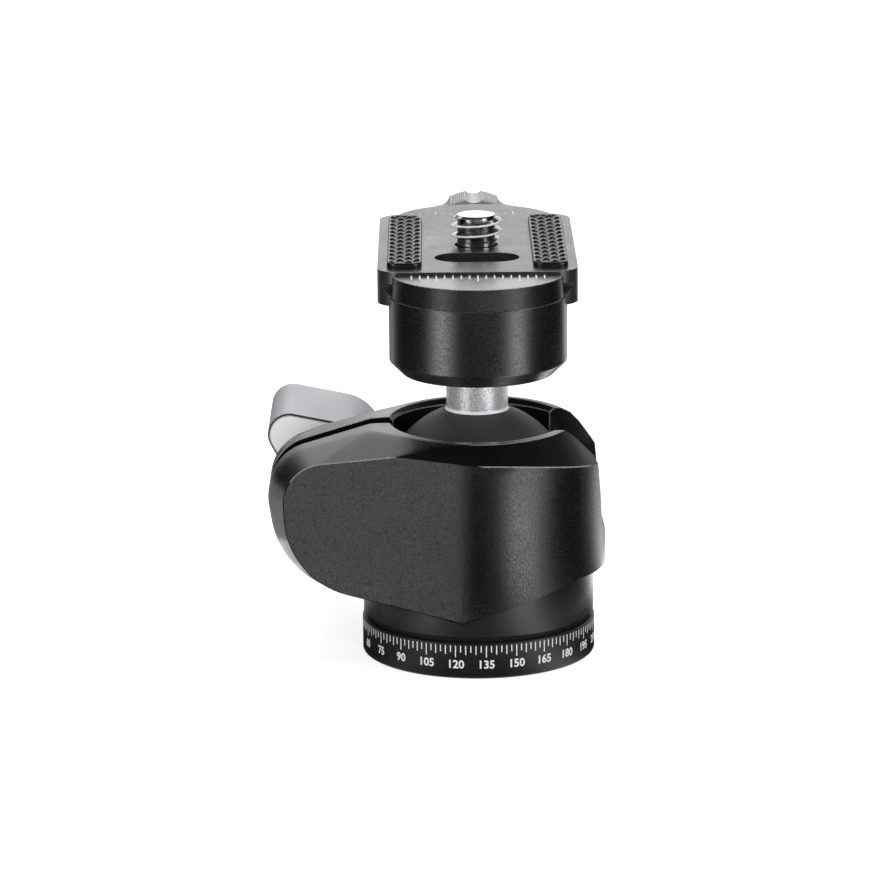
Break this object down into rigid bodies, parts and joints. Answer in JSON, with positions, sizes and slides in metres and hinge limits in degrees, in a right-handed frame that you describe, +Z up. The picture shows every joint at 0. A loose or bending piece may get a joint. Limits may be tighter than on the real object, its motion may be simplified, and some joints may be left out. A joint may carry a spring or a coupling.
{
  "type": "tripod ball head",
  "caption": "Single-lever tripod ball head with a panning base, a drop notch and a quick-release clamp holding a camera plate with a captive camera screw.",
  "frame": {"origin": "centre of the base's underside, on the axis of the tripod thread, the panning base and the ball", "axes": "+Z up along the stem, +X towards the drop notch, -Y towards the flat face without the lever"},
  "size_m": [0.0439, 0.0646, 0.0573],
  "materials": {
    "base_black": "satin anodised",
    "socket_steel": "plain",
    "bushing_steel": "zinc plated",
    "washer_black": "moulded",
    "spring_steel": "plain",
    "housing_black": "blasted and anodised",
    "lever_silver": "satin anodised",
    "ball_dark": "hard anodised",
    "liner_acetal": "moulded",
    "stem_silver": "blasted",
    "clamp_black": "satin anodised",
    "knob_silver": "satin anodised",
    "plate_grey": "blasted and anodised",
    "pad_rubber": "moulded",
    "screw_steel": "polished",
    "fastener_black": "black oxide"
  },
  "bodies": {
    "base": {"base_disc": "base_black", "thread_socket": "socket_steel", "reducer_bushing": "bushing_steel", "pan_washer": "washer_black", "snap_ring": "spring_steel"},
    "housing": {"housing": "housing_black", "ear_insert": "socket_steel", "thrust_washer": "socket_steel"},
    "lever": {"lock_lever": "lever_silver", "clamp_stud": "socket_steel", "lever_screw": "fastener_black"},
    "liner": {"ball_liner": "liner_acetal"},
    "ball": {"ball": "ball_dark"},
    "head": {"stem": "stem_silver", "clamp_bolt": "fastener_black", "index_pin": "spring_steel", "clamp_body": "clamp_black", "guide_pins": "socket_steel", "jaw_springs": "spring_steel"},
    "jaw": {"moving_jaw": "clamp_black", "knob_washer": "socket_steel"},
    "knob": {"jaw_knob": "knob_silver", "jaw_screw": "socket_steel", "jaw_clip": "fastener_black"},
    "plate": {"camera_plate": "plate_grey", "pad_left": "pad_rubber", "pad_right": "pad_rubber", "screw_retainer": "liner_acetal"},
    "screw": {"camera_screw": "screw_steel"}
  },
  "joints": [
    {"name": "pan", "type": "hinge", "parent": "base", "child": "housing", "pos_m": [0, 0, 0], "axis": [0, 0, 1], "continuous": true},
    {"name": "lever_turn", "type": "hinge", "parent": "housing", "child": "lever", "pos_m": [-0.0186, 0, 0.0203], "axis": [0, 1, 0], "range_deg": [0, 150]},
    {"name": "tilt_side", "type": "hinge", "parent": "housing", "child": "liner", "pos_m": [0, 0, 0.0199], "axis": [1, 0, 0], "range_deg": [-22, 22]},
    {"name": "tilt_drop", "type": "hinge", "parent": "liner", "child": "ball", "pos_m": [0, 0, 0.0199], "axis": [0, 1, 0], "range_deg": [-22, 90]},
    {"name": "stem_turn", "type": "hinge", "parent": "ball", "child": "head", "pos_m": [0, 0, 0.0199], "axis": [0, 0, 1], "continuous": true},
    {"name": "jaw_slide", "type": "slide", "parent": "head", "child": "jaw", "axis": [0, 1, 0], "range_m": [0, 0.003]},
    {"name": "knob_turn", "type": "hinge", "parent": "jaw", "child": "knob", "pos_m": [0, 0.03, 0.0464], "axis": [0, 1, 0], "range_deg": [0, 1543]},
    {"name": "plate_slide", "type": "slide", "parent": "head", "child": "plate", "axis": [1, 0, 0], "range_m": [-0.0235, 0.0235]},
    {"name": "screw_turn", "type": "hinge", "parent": "plate", "child": "screw", "pos_m": [0, -0.0015, 0.05], "axis": [0, 0, 1], "continuous": true}
  ],
  "couplings": [
    {"joint": "knob_turn", "follows": "jaw_slide", "rad_per_m": 8976}
  ]
}
